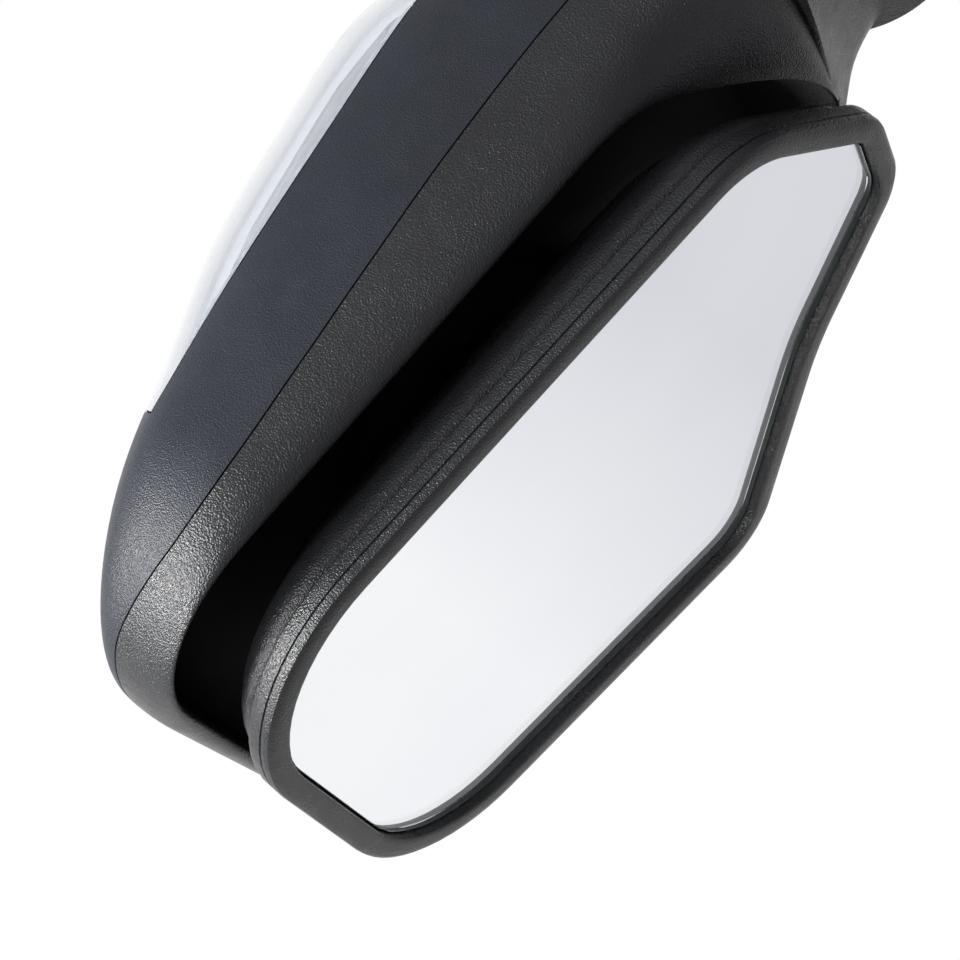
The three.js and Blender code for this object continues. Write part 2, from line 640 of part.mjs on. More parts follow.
// ---------------------------------------------------------------- assembly
const BLACK_GRAIN = { colour: 0x17181a, roughness: 0.55, metalness: 0 };
const SATIN_BLACK = { colour: 0x1b1c1f, roughness: 0.35, metalness: 0 };
const CLEAR = { colour: 0xe6ebf2, roughness: 0.08, metalness: 0 };
const REFLECTOR = { colour: 0xcfd3d8, roughness: 0.25, metalness: 0.6 };
const GREEN_BOARD = { colour: 0x1f5b3a, roughness: 0.6, metalness: 0 };
const ALUMINIUM = { colour: 0x9a9da1, roughness: 0.5, metalness: 1 };
const STEEL = { colour: 0xa7a9ac, roughness: 0.35, metalness: 1 };
const BRASS = { colour: 0xb08d46, roughness: 0.35, metalness: 1 };
const RUBBER = { colour: 0x141414, roughness: 0.85, metalness: 0 };
const WHITE_PLASTIC = { colour: 0xd8d8d2, roughness: 0.45, metalness: 0 };
const GREY_PLASTIC = { colour: 0x3a3c40, roughness: 0.5, metalness: 0 };
const SILVERED = { colour: 0xe8edf2, roughness: 0.03, metalness: 1 };
const HEATER = { colour: 0xb5531c, roughness: 0.6, metalness: 0 };

const FINISH = {
  bezel: BLACK_GRAIN, lower_cover: BLACK_GRAIN, upper_cap: SATIN_BLACK, signal_lens: CLEAR,
  lamp_housing: REFLECTOR, led_board: GREEN_BOARD, lamp_optic: CLEAR,
  mirror_glass: SILVERED, heater_pad: HEATER, glass_holder: BLACK_GRAIN,
  backing_plate: GREY_PLASTIC, gimbal_ring: WHITE_PLASTIC,
  actuator_base: GREY_PLASTIC, actuator_cover: GREY_PLASTIC,
  motor_vertical: STEEL, motor_horizontal: STEEL, worm_vertical: WHITE_PLASTIC, worm_horizontal: WHITE_PLASTIC,
  wheel_vertical: WHITE_PLASTIC, wheel_horizontal: WHITE_PLASTIC,
  jackscrew_vertical: WHITE_PLASTIC, jackscrew_horizontal: WHITE_PLASTIC,
  head_frame: GREY_PLASTIC, inner_panel: GREY_PLASTIC, door_gasket: RUBBER, foot_bracket: ALUMINIUM, foot_cover: BLACK_GRAIN,
  cable_grommet: RUBBER, pivot_post: STEEL, thrust_washer: BRASS, fold_spring: STEEL,
  spring_retainer: STEEL, lock_ring: STEEL,
};

const assembly = new THREE.Group();
assembly.name = "door_mirror";

function place(name, body, finish = FINISH[name]) {
  const { colour, roughness, metalness } = finish;
  const mesh = new THREE.Mesh(geometryOf(body), new THREE.MeshStandardMaterial({ color: colour, roughness, metalness }));
  mesh.name = name;
  assembly.add(mesh);
}

const pieces = {
  ...covers(), inner_panel: innerPanel(), ...lamp(), ...glassPack(),
  backing_plate: backingPlate(), gimbal_ring: gimbalRing(),
  ...actuatorCase(), ...drives(), head_frame: headFrame(), ...foot(), ...pivotParts(),
};
Object.entries(pieces).forEach(([name, body]) => place(name, body));

STUDS.forEach((at, i) => place(`door_stud_${i + 1}`,
  union(rod("x", at, [-20, 4.5], 3, 14), rod("x", at, [4.4, 7.6], 5.1, 6)), STEEL));
BEZEL_SCREWS.forEach((at, i) => place(`bezel_screw_${i + 1}`,
  screw("y", at, FRAME_Y[1] + GAP, FRAME_Y[1] + 2.8, -4, 1.35), STEEL));
ACTUATOR_SCREWS.forEach((at, i) => place(`actuator_screw_${i + 1}`,
  screw("y", at, CASE_FLOOR - 2 - GAP, CASE_FLOOR - 4.8, 16, 1.9), STEEL));

export default assembly;
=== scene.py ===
"""Looks of the car door mirror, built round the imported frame.

X outboard from the door, Y towards the front of the car, Z up. Shapes are worked out in millimetres, as in the
CAD, and turned into metres when a mesh is made.
"""
import json
import math

import bpy
import bmesh
import numpy as np
from mathutils import Matrix, Vector


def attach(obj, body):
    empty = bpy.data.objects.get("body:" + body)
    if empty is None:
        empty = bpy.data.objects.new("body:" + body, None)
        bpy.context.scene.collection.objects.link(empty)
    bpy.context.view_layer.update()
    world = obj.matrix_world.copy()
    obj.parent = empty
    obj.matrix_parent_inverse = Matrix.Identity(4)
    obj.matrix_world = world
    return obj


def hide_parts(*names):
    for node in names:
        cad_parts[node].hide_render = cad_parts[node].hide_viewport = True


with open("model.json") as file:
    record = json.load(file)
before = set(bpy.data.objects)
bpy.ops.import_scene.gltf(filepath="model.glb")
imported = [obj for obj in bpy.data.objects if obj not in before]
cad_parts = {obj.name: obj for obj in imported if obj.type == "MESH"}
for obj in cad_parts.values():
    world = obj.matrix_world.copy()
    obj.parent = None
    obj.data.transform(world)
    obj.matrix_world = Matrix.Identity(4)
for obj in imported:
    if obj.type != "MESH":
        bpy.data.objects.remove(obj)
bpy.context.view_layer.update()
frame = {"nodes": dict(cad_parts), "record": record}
MM = 0.001

# ---------------------------------------------------------------- driving dimensions, millimetres
GLASS_CORNERS = [
    (266, -2.8, 36), (257, 106.5, 33), (150.5, 115.4, 14), (118.3, 72, 70),
    (85.4, 45.6, 11), (85, 24.5, 9), (111, -6.1, 22),
]
OPENING_CORNERS = [
    (273, -19, 30), (258.3, 122, 30), (150, 126, 20), (113, 80, 60),
    (78, 55, 14), (77, 24, 42), (120, -19, 34),
]
NECK_TOP, FLOOR_Z, HEAD_BOTTOM = 44, -27, -4
BODY_CORNERS = [
    (283, FLOOR_Z, 47.5), (260, 130, 34), (146, 136, 30), (103, 88, 60),
    (70, NECK_TOP, 20), (10, NECK_TOP, 6), (10, FLOOR_Z, 6),
]
FAN_CENTRE = (222, 50)
SPINE = [(42, 10), (60, 22), (79, 38), (150, 48), (222, 50)]
FRONT = [
    (42, 27), (55, 31), (75, 38), (110, 46.4), (136, 54.6), (166, 48.7), (196, 39), (224, 22.8),
    (250, 10.3), (280, -5.5),
]
REAR_FLARE = [
    (42, 1), (50, 1.5), (60, 2.5), (68, 4), (74, 6.5), (79, 8.5), (86, 6.5), (95, 3.6),
    (105, 1.5), (118, 0),
]
FRONT_POWER, REAR_ROUNDING = 2.9, 16
WALL, TUNNEL_WALL, TUNNEL_START, TUNNEL_END = 2.6, 2.2, -31, -11
SKIN = 1.2
FOLD_X, KNUCKLE_R = 42, 27
SEAM = 0.4
BEZEL_SEAM = [
    (30, -2), (111, -3.5), (150, -7.4), (183, -12.7), (203, -16.2), (232, -20.8), (246, -21.3), (255, -20),
    (263, -18), (271, -15.5), (300, -11),
]
LAMP_X, LAMP_TOP = (96, 231), 18
LAMP_EDGE = [(90, 35.5), (231, 4.5)]
CAP_OUTLINE = [(58, 52), (100, 19), (205, 19), (262, 62), (300, 66), (300, 150), (58, 150)]
PIVOT = (176, -24, 50)
LIP_Y, GLASS_RECESS, GLASS_T = -50, 2.2, 2


# ---------------------------------------------------------------- camera
def add_camera():
    """The camera stands below and behind the mirror and looks steeply up at its outboard end."""
    target = Vector((196, -50, 0)) * MM
    out = Vector((0.12, -0.4596, -0.88)).normalized()
    across = Vector((-1, 0, 0))
    up0 = (across - out * across.dot(out)).normalized()
    side = out.cross(up0)
    roll = math.atan2(0.73, 0.68)
    right = up0 * math.cos(roll) - side * math.sin(roll)
    up = up0 * math.sin(roll) + side * math.cos(roll)
    data = bpy.data.cameras.new("camera")
    data.sensor_width = 36
    data.lens = 148.5
    data.clip_start = 0.05
    camera = bpy.data.objects.new("camera", data)
    basis = Matrix((right, up, out)).transposed().to_4x4()
    camera.matrix_world = Matrix.Translation(target + out * 0.8) @ basis
    bpy.context.scene.collection.objects.link(camera)
    bpy.context.scene.camera = camera


add_camera()


# ---------------------------------------------------------------- curves and outlines
def smooth(stations, x):
    """Height of the smooth curve through (x, y) stations."""
    last = len(stations) - 1
    at = min(max(x, stations[0][0]), stations[last][0])
    i = 0
    while i < last - 1 and at >= stations[i + 1][0]:
        i += 1

    def slope(k):
        a, b = stations[max(k - 1, 0)], stations[min(k + 1, last)]
        return (b[1] - a[1]) / (b[0] - a[0])

    h = stations[i + 1][0] - stations[i][0]
    t = (at - stations[i][0]) / h
    return (
        (2 * t**3 - 3 * t**2 + 1) * stations[i][1] + (t**3 - 2 * t**2 + t) * h * slope(i)
        + (3 * t**2 - 2 * t**3) * stations[i + 1][1] + (t**3 - t**2) * h * slope(i + 1)
    )


def unit(v):
    return v / np.linalg.norm(v)


def cross2(a, b):
    return a[0] * b[1] - a[1] * b[0]


def rounded(corners, grow=0.0, arc=12):
    """Polygon with rounded corners, moved outwards by grow. Corners run anticlockwise."""
    flat = [np.array(c[:2], float) for c in corners]
    n = len(flat)
    moved = []
    for i in range(n):
        e, f = unit(flat[i] - flat[i - 1]), unit(flat[(i + 1) % n] - flat[i])
        p = flat[i - 1] + np.array((e[1], -e[0])) * grow
        q = flat[i] + np.array((f[1], -f[0])) * grow
        moved.append(p + e * (cross2(q - p, f) / cross2(e, f)))
    points = []
    for i, b in enumerate(moved):
        a, c = moved[i - 1], moved[(i + 1) % n]
        u, v = unit(a - b), unit(c - b)
        convex = cross2(b - a, c - b) > 0
        radius = max(corners[i][2] + (grow if convex else -grow), 0.3)
        half = math.acos(float(u @ v)) / 2
        start, end = b + u * radius / math.tan(half), b + v * radius / math.tan(half)
        centre = b + unit(u + v) * radius / math.sin(half)
        first = math.atan2(*(start - centre)[::-1])
        turn = math.atan2(*(end - centre)[::-1]) - first
        turn -= 2 * math.pi * round(turn / (2 * math.pi))
        for k in range(arc + 1):
            w = first + turn * k / arc
            points.append(centre + radius * np.array((math.cos(w), math.sin(w))))
    return np.array(points)


def refine(outline, step):
    """The same outline with extra points on its long edges."""
    out = []
    for a, b in zip(outline, np.roll(outline, -1, 0)):
        pieces = int(np.linalg.norm(b - a) / step) + 1
        out += [a + (b - a) * k / pieces for k in range(pieces)]
    return np.array(out)


def reach(outline, origin, direction):
    """Distance along a ray to the farthest crossing of an outline."""
    e = np.roll(outline, -1, 0) - outline
    w = outline - origin
    den = direction[0] * e[:, 1] - direction[1] * e[:, 0]
    den = np.where(np.abs(den) < 1e-12, 1e-12, den)
    t = (w[:, 0] * e[:, 1] - w[:, 1] * e[:, 0]) / den
    s = (w[:, 0] * direction[1] - w[:, 1] * direction[0]) / den
    return float(t[(s >= -1e-9) & (s <= 1 + 1e-9)].max())


# ---------------------------------------------------------------- meshes
def mesh_from(points, faces, name="part"):
    """Closed mesh from points in millimetres."""
    mesh = bpy.data.meshes.new(name)
    mesh.from_pydata([tuple(float(c) * MM for c in p) for p in points], [], faces)
    bm = bmesh.new()
    bm.from_mesh(mesh)
    bmesh.ops.remove_doubles(bm, verts=bm.verts, dist=2e-7)
    bmesh.ops.recalc_face_normals(bm, faces=bm.faces)
    bm.to_mesh(mesh)
    bm.free()
    return mesh


def temporary(mesh):
    o = bpy.data.objects.new("temporary", mesh)
    bpy.context.scene.collection.objects.link(o)
    return o


def evaluated(o):
    bpy.context.view_layer.update()
    mesh = bpy.data.meshes.new_from_object(o.evaluated_get(bpy.context.evaluated_depsgraph_get()))
    bpy.data.objects.remove(o)
    return mesh


def combine(mesh, operation, *tools):
    """Boolean of a mesh with each tool in turn."""
    for tool in tools:
        a, b = temporary(mesh), temporary(tool)
        m = a.modifiers.new("boolean", "BOOLEAN")
        m.operation, m.object, m.solver = operation, b, "MANIFOLD"
        mesh = evaluated(a)
        bpy.data.objects.remove(b)
    return mesh


def cut(mesh, *tools):
    return combine(mesh, "DIFFERENCE", *tools)


def union(mesh, *tools):
    return combine(mesh, "UNION", *tools)


def common(mesh, *tools):
    return combine(mesh, "INTERSECT", *tools)


def prism(axis, outline, low, high):
    """Prism of an outline: in XZ along Y, or in XY along Z."""
    def at(p, h):
        return (p[0], h, p[1]) if axis == "y" else (p[0], p[1], h)
    n = len(outline)
    points = [at(p, low) for p in outline] + [at(p, high) for p in outline]
    faces = [list(range(n))[::-1], list(range(n, 2 * n))]
    faces += [(k, (k + 1) % n, n + (k + 1) % n, n + k) for k in range(n)]
    return mesh_from(points, faces)


def upright_rod(x, y, low, high, r, segments=96):
    angles = np.arange(segments) * 2 * math.pi / segments
    ring = [(x + r * math.cos(a), y + r * math.sin(a)) for a in angles]
    return prism("z", ring, low, high)


def loft(rings):
    """Closed ring-shaped surface: every ring joins the next, and the last joins the first."""
    n, count = len(rings[0]), len(rings)
    faces = []
    for i in range(count):
        j = (i + 1) % count
        faces += [(i * n + k, i * n + (k + 1) % n, j * n + (k + 1) % n, j * n + k) for k in range(n)]
    return mesh_from([p for ring in rings for p in ring], faces)


# ---------------------------------------------------------------- housing surface
def opening_y(x, z):
    return -29.6 - 0.03 * (x - 170) + 0.06 * (z + 19) - smooth(REAR_FLARE, x)


def ridge(x):
    return smooth(SPINE, x)


def rib_starts(step):
    """Where each rib starts: spine point, direction, distance to the opening edge."""
    edge = refine(rounded(OPENING_CORNERS, 0, 14), step)
    centre = np.array(FAN_CENTRE, float)
    left = [i for i in range(len(edge)) if edge[i][0] < 100 and edge[i][1] > ridge(edge[i][0])
            and edge[(i + 1) % len(edge)][1] <= ridge(edge[(i + 1) % len(edge)][0])][0]
    edge = np.roll(edge, -(left + 1), 0)
    a, b = edge[-1], edge[0]
    gap_a, gap_b = a[1] - ridge(a[0]), b[1] - ridge(b[0])
    meet = a + (b - a) * gap_a / (gap_a - gap_b)
    meet[1] = ridge(meet[0])
    neck = np.linspace(42, meet[0] - 1, 16)
    below = [(np.array((x, ridge(x))), np.array((0.0, -1.0)), 0.0, False) for x in neck]
    above = [(s, -d, re, False) for s, d, re, _ in below][::-1]
    first = (meet, np.array((0.0, -1.0)), 0.0, True)
    last = (meet, np.array((0.0, 1.0)), 0.0, True)
    around, side = [], -1.0
    for p in edge:
        if p[0] > centre[0]:
            side = 1.0
            around.append((centre, unit(p - centre), float(np.linalg.norm(p - centre)), True))
            continue
        s = np.array((p[0], ridge(p[0])))
        around.append((s, np.array((0.0, side)), max((p[1] - s[1]) * side, 0.0), True))
    return below + [first] + around + [last] + above


def rib_points(start, outline, inset, lip, back, front):
    """Points of one rib, from the opening over the rounded lip and the rear edge to the front ridge."""
    s, d, re, opened = start
    ro = reach(outline, s, d)
    rolled = 1 if opened else 0.4

    def at(r, y):
        x, z = s + d * r
        return (x, y(x, z), z)

    points = []
    if lip:
        turns = 6
        for k in range(turns):
            a = k / turns * math.pi / 2
            r = re + lip * (1 - math.cos(a)) if opened else 0
            sink = lip * (1 - math.sin(a)) if opened else 0
            points.append(at(r, lambda x, z: opening_y(x, z) + sink))
    begin = re + lip if opened else 0
    for k in range(back + 1):
        t = k / back * math.pi / 2
        q = 1 - math.cos(t) ** rolled
        r = begin + (ro - begin) * math.sin(t) ** rolled
        points.append(at(r, lambda x, z: opening_y(x, z) + inset + (REAR_ROUNDING - inset) * q))
    for k in range(1, front + 1):
        t = k / front * math.pi / 2
        r = max(ro * math.cos(t) ** (2 / FRONT_POWER), 0.12)
        q = math.sin(t) ** (2 / FRONT_POWER)

        def y(x, z):
            y0 = opening_y(x, z) + REAR_ROUNDING
            return y0 + (smooth(FRONT, x) - inset - y0) * q
        points.append(at(r, y))
    return points


def tunnel_point(p, share):
    """A point of the opening's inner wall, which slopes outboard at the narrow inboard end."""
    x, y, z = p
    depth = (TUNNEL_END + 3 - y) * share
    w = min(max((118 - x) / 40, 0), 1)
    return (x + 0.6 * depth * w * w * (3 - 2 * w), y + depth, z)


def housing(inset=0.0, lip=0.0, step=3.0, back=12, front=40):
    """Closed body inside the housing surface. With a lip, the opening is a pocket with a rounded edge."""
    starts = rib_starts(step)
    outline = rounded(BODY_CORNERS, -inset, 24)
    ribs = [rib_points(s, outline, inset, lip, back, front) for s in starts]
    m, n = len(ribs[0]), len(ribs)
    points = [p for rib in ribs for p in rib]
    faces = []
    for i in range(n - 1):
        faces += [(i * m + k, i * m + k + 1, (i + 1) * m + k + 1, (i + 1) * m + k) for k in range(m - 1)]
    faces.append([i * m + m - 1 for i in range(n)])
    faces.append([i * m for i in range(n)][::-1] if not lip else None)
    faces += [(k, k + 1, (n - 1) * m + k + 1, (n - 1) * m + k) for k in range(m - 1)]
    if lip:
        opened = [i for i in range(n) if starts[i][3]][:-1]
        rows = [[i * m for i in opened]]
        for share in (0.15, 0.35, 0.65, 1):
            rows.append(list(range(len(points), len(points) + len(opened))))
            points += [tunnel_point(ribs[i][0], share) for i in opened]
        for a, b in zip(rows, rows[1:]):
            faces += [(a[k], a[(k + 1) % len(a)], b[(k + 1) % len(a)], b[k]) for k in range(len(a))]
        faces.append(rows[-1])
    return mesh_from(points, [f for f in faces if f is not None])


def plan_behind(shift):
    xs = np.linspace(30, 300, 136)
    line = [(x, smooth(BEZEL_SEAM, x) + shift) for x in xs]
    return prism("z", [(30, -90), (300, -90)] + line[::-1], -80, 170)


def lamp_region(margin):
    x0, x1 = LAMP_X[0] + margin, LAMP_X[1] - margin
    y0, y1 = smooth(LAMP_EDGE, x0) + margin, smooth(LAMP_EDGE, x1) + margin
    return prism("z", [(x0, y0), (x1, y1), (x1, 90), (x0, 90)], -60, LAMP_TOP - margin)


def cap_region(shift):
    return prism("y", [(x, z + shift) for x, z in CAP_OUTLINE], -60, 90)


def head_clearance(grow):
    box = [(0, -60), (FOLD_X + 12 + grow, -60), (FOLD_X + 12 + grow, 60), (0, 60)]
    return [upright_rod(FOLD_X, 0, -60, HEAD_BOTTOM + grow, KNUCKLE_R + 1 + grow),
            prism("z", box, -60, HEAD_BOTTOM + grow)]


def covers():
    """Rear bezel, lower cover, upper cap and lamp lens, cut from one fine shell.

    Where the opening's wall comes close to the outside, the lower cover keeps a thin skin over it.
    """
    knuckle = upright_rod(FOLD_X, 0, HEAD_BOTTOM, NECK_TOP, KNUCKLE_R)
    hollow = upright_rod(FOLD_X, 0, HEAD_BOTTOM + WALL, NECK_TOP - WALL, KNUCKLE_R - WALL)
    outer = cut(union(housing(0, 1.3), knuckle), *head_clearance(0))
    round_tunnel = prism("y", rounded(OPENING_CORNERS, TUNNEL_WALL, 10), -80, TUNNEL_END)
    inner = union(cut(housing(WALL, 0, 5, 8, 26), *head_clearance(WALL)), hollow)
    shell = cut(outer, cut(inner, round_tunnel), upright_rod(FOLD_X, 0, -60, 0, 17.8, 64))
    around = prism("y", rounded(OPENING_CORNERS, TUNNEL_WALL + SEAM, 10), -80, TUNNEL_END + SEAM)
    core = housing(SKIN, 0, 5, 8, 26)
    front = cut(shell, plan_behind(SEAM / 2), common(around, core))
    tunnel = common(shell, common(round_tunnel, housing(SKIN + SEAM, 0, 5, 8, 26)))
    lamp_open = lamp_region(-SEAM / 2)
    return {
        "bezel": union(common(shell, plan_behind(-SEAM / 2)), tunnel),
        "lower_cover": cut(front, cap_region(-SEAM / 2), lamp_open),
        "upper_cap": cut(common(front, cap_region(SEAM / 2)), lamp_open),
        "signal_lens": common(front, lamp_region(SEAM / 2)),
    }


# ---------------------------------------------------------------- glass holder
# Rings of the holder: how far it stands past the glass outline, its scale about the pivot, and Y.
LIP_SECTION = [
    (0, 1, -44.6), (0, 1, -49.3), (0.2, 1, -49.75), (0.7, 1, -49.97), (1.5, 1, -50), (3.2, 1, -49.95),
    (4.8, 1, -49.7), (5.7, 1, -49.1), (6, 1, -48.2), (6, 1, -47.3), (5.6, 1, -47.12), (5.6, 1, -46.9),
    (6, 1, -46.72), (6, 1, -44.2), (5.8, 1, -43.4), (5.3, 1, -42.95), (2.6, 1, -42.8),
]
BOWL_SECTION = [
    (1.5, 1, -42.3), (1.4, 1, -41.9), (2, 1, -41.1), (2.5, 1, -39.9), (2.7, 0.998, -38.6),
    (2.7, 0.992, -37.1), (2.4, 0.982, -35.4), (1.9, 0.968, -33.8), (1, 0.947, -32.2), (0, 0.92, -30.8),
    (0, 0.893, -29.1), (0, 0.86, -27.4), (0, 0.822, -25.8), (0, 0.78, -24.4), (0, 0.73, -23.1),
    (0, 0.68, -22),
]
INSIDE_SECTION = [
    (0, 0.68, -24), (0, 0.78, -26.5), (0, 0.85, -29.4), (0, 0.905, -32.4), (-0.4, 0.95, -36),
    (-0.9, 0.985, -39.4), (-0.9, 1, -42.4),
]


def holder():
    """Deep rim with a moulded parting groove, and a bowl-shaped back."""
    section = LIP_SECTION + BOWL_SECTION + INSIDE_SECTION
    centre = np.array((PIVOT[0], PIVOT[2]), float)
    rings = []
    for grow, scale, y in section:
        outline = centre + (rounded(GLASS_CORNERS, grow, 14) - centre) * scale
        rings.append([(x, y, z) for x, z in outline])
    plate = prism("y", rounded(GLASS_CORNERS, 0.6, 14), -44.6, -42.4)
    return union(loft(rings), plate)


def glass():
    """Glass plate with ground edges. Its back face carries the silver."""
    front = LIP_Y + GLASS_RECESS
    back = front + GLASS_T
    rings = [[(x, y, z) for x, z in rounded(GLASS_CORNERS, grow, 14)]
             for grow, y in ((-0.6, front), (-0.3, front + 0.3), (-0.3, back))]
    n = len(rings[0])
    faces = [list(range(n)), list(range(2 * n, 3 * n))[::-1]]
    for i in (0, n):
        faces += [(i + k, i + (k + 1) % n, i + n + (k + 1) % n, i + n + k) for k in range(n)]
    return mesh_from([p for ring in rings for p in ring], faces)


# ---------------------------------------------------------------- materials
def new_material(name, colour, roughness, metallic=0.0, **sockets):
    material = bpy.data.materials.new(name)
    material.use_nodes = True
    nodes = material.node_tree.nodes
    shader = nodes["Principled BSDF"]
    shader.inputs["Base Color"].default_value = (*colour, 1)
    shader.inputs["Roughness"].default_value = roughness
    shader.inputs["Metallic"].default_value = metallic
    for socket, value in sockets.items():
        shader.inputs[socket.replace("_", " ")].default_value = value
    return material, nodes, material.node_tree.links, shader


def noise(nodes, links, scale, detail=3.0, roughness=0.5):
    coord = nodes.new("ShaderNodeTexCoord")
    n = nodes.new("ShaderNodeTexNoise")
    n.inputs["Scale"].default_value = scale
    n.inputs["Detail"].default_value = detail
    n.inputs["Roughness"].default_value = roughness
    links.new(coord.outputs["Object"], n.inputs["Vector"])
    return n.outputs["Fac"]


def ramp(nodes, links, source, low, high, start=0.3, end=0.7):
    """Colour ramp from low to high, which are grey levels or colours."""
    r = nodes.new("ShaderNodeValToRGB")
    for element, position, value in zip(r.color_ramp.elements, (start, end), (low, high)):
        element.position = position
        element.color = (*value, 1) if isinstance(value, tuple) else (value, value, value, 1)
    links.new(source, r.inputs["Fac"])
    return r.outputs["Color"]


def bump(nodes, links, height, distance, strength=1.0, before=None):
    b = nodes.new("ShaderNodeBump")
    b.inputs["Strength"].default_value = strength
    b.inputs["Distance"].default_value = distance
    links.new(height, b.inputs["Height"])
    if before is not None:
        links.new(before, b.inputs["Normal"])
    return b.outputs["Normal"]


def spread_out(nodes, links, source, low, high):
    """The source's range from low to high, spread over 0 to 1."""
    n = nodes.new("ShaderNodeMapRange")
    n.inputs["From Min"].default_value = low
    n.inputs["From Max"].default_value = high
    links.new(source, n.inputs["Value"])
    return n.outputs["Result"]


def leather_grain(name, colour, roughness, cell, depth, shine=0.31):
    """Moulded black plastic with a pebble grain, uneven gloss and faint handling marks."""
    material, nodes, links, shader = new_material(name, colour, roughness)
    coord = nodes.new("ShaderNodeTexCoord")
    warp = nodes.new("ShaderNodeTexNoise")
    warp.inputs["Scale"].default_value = 1.1 / cell
    warp.inputs["Detail"].default_value = 2
    links.new(coord.outputs["Object"], warp.inputs["Vector"])
    shift = nodes.new("ShaderNodeVectorMath")
    shift.operation = "MULTIPLY_ADD"
    shift.inputs[1].default_value = (cell * 0.6,) * 3
    links.new(warp.outputs["Color"], shift.inputs[0])
    links.new(coord.outputs["Object"], shift.inputs[2])
    cells = nodes.new("ShaderNodeTexVoronoi")
    cells.feature = "SMOOTH_F1"
    cells.inputs["Scale"].default_value = 1 / cell
    cells.inputs["Smoothness"].default_value = 0.35
    links.new(shift.outputs["Vector"], cells.inputs["Vector"])
    pebbles = bump(nodes, links, cells.outputs["Distance"], depth, 1.0)
    fine = bump(nodes, links, noise(nodes, links, 3.2 / cell, 2), depth * 0.35, 1.0, pebbles)
    links.new(fine, shader.inputs["Normal"])
    patches = noise(nodes, links, 26, 5, 0.6)
    shader.inputs["Specular IOR Level"].default_value = shine
    low = tuple(c * 0.8 for c in colour)
    high = tuple(c * 1.25 for c in colour)
    links.new(ramp(nodes, links, patches, low, high), shader.inputs["Base Color"])
    gloss = noise(nodes, links, 140, 6, 0.65)
    links.new(ramp(nodes, links, gloss, roughness - 0.07, roughness + 0.09), shader.inputs["Roughness"])
    return material


def opening_painted_shade_grain():
    """The bezel's grain where it turns into the opening, painted darker than the outer bezel and with its
    reflection fading the deeper it goes: painted shade in the recess.
    """
    # Painted shade: a darker, rougher copy of the bezel's black grain.
    material = leather_grain("opening_painted_shade_grain", (0.006, 0.0062, 0.007), 0.36, 0.00044, 0.00013)
    nodes, links = material.node_tree.nodes, material.node_tree.links
    coord = nodes.new("ShaderNodeTexCoord")
    split = nodes.new("ShaderNodeSeparateXYZ")
    links.new(coord.outputs["Object"], split.inputs["Vector"])
    depth = spread_out(nodes, links, split.outputs["Y"], -0.0225, -0.031)
    # Painted shade: reflection strength falls from 0.36 at the opening's edge to 0.02 deep inside.
    painted_shade_spec = nodes.new("ShaderNodeMath")
    painted_shade_spec.operation = "MULTIPLY_ADD"
    painted_shade_spec.inputs[1].default_value = 0.34
    painted_shade_spec.inputs[2].default_value = 0.02
    links.new(depth, painted_shade_spec.inputs[0])
    shader = next(n for n in nodes if n.type == "BSDF_PRINCIPLED")
    links.new(painted_shade_spec.outputs["Value"], shader.inputs["Specular IOR Level"])
    return material


def fine_finish(name, colour, roughness, metallic=0.0, scale=900, depth=0.00001, spread=0.06, stretch=None,
                **sockets):
    """Moulded, cast, drawn or plated finish: fine texture, uneven gloss, slightly varied colour."""
    material, nodes, links, shader = new_material(name, colour, roughness, metallic, **sockets)
    coord = nodes.new("ShaderNodeTexCoord")
    mapping = nodes.new("ShaderNodeMapping")
    mapping.inputs["Scale"].default_value = stretch or (1, 1, 1)
    links.new(coord.outputs["Object"], mapping.inputs["Vector"])
    texture = nodes.new("ShaderNodeTexNoise")
    texture.inputs["Scale"].default_value = scale
    texture.inputs["Detail"].default_value = 4
    links.new(mapping.outputs["Vector"], texture.inputs["Vector"])
    links.new(bump(nodes, links, texture.outputs["Fac"], depth), shader.inputs["Normal"])
    wear = noise(nodes, links, 45, 6, 0.6)
    low = max(roughness - spread, 0.01)
    links.new(ramp(nodes, links, wear, low, roughness + spread), shader.inputs["Roughness"])
    tone = noise(nodes, links, 60, 4, 0.55)
    darker = tuple(c * 0.86 for c in colour)
    lighter = tuple(min(c * 1.1, 1) for c in colour)
    links.new(ramp(nodes, links, tone, darker, lighter), shader.inputs["Base Color"])
    return material


def lens_material():
    """Clear moulded plastic with faint flutes on its inner side."""
    material, nodes, links, shader = new_material(
        "clear_lens", (0.95, 0.97, 1.0), 0.03, 0, Transmission_Weight=1.0, IOR=1.46)
    links.new(bump(nodes, links, noise(nodes, links, 60, 2), 0.00002), shader.inputs["Normal"])
    links.new(ramp(nodes, links, noise(nodes, links, 300, 4), 0.01, 0.06), shader.inputs["Roughness"])
    return material


def pillow_material():
    """Clear optic with rows of small pillow lenses, its colour painted grey-blue towards each pillow's edge:
    painted shade at the pillow edges.
    """
    material, nodes, links, shader = new_material(
        "pillow_optic", (0.9, 0.94, 1.0), 0.12, 0, Transmission_Weight=0.75, IOR=1.46)
    coord = nodes.new("ShaderNodeTexCoord")
    cells = nodes.new("ShaderNodeTexVoronoi")
    cells.inputs["Scale"].default_value = 420
    cells.inputs["Randomness"].default_value = 0.08
    links.new(coord.outputs["Object"], cells.inputs["Vector"])
    place = nodes.new("ShaderNodeSeparateXYZ")
    links.new(coord.outputs["Object"], place.inputs["Vector"])
    outboard = spread_out(nodes, links, place.outputs["X"], 0.182, 0.198)
    height = nodes.new("ShaderNodeMath")
    height.operation = "MULTIPLY"
    links.new(cells.outputs["Distance"], height.inputs[0])
    links.new(outboard, height.inputs[1])
    links.new(bump(nodes, links, height.outputs["Value"], 0.0009), shader.inputs["Normal"])
    # Painted shade: colour turns grey-blue towards each pillow's edge, at the outboard end only.
    links.new(ramp(nodes, links, height.outputs["Value"], (1.0, 1.0, 1.0), (0.4, 0.45, 0.58), 0.3, 0.7),
              shader.inputs["Base Color"])
    return material


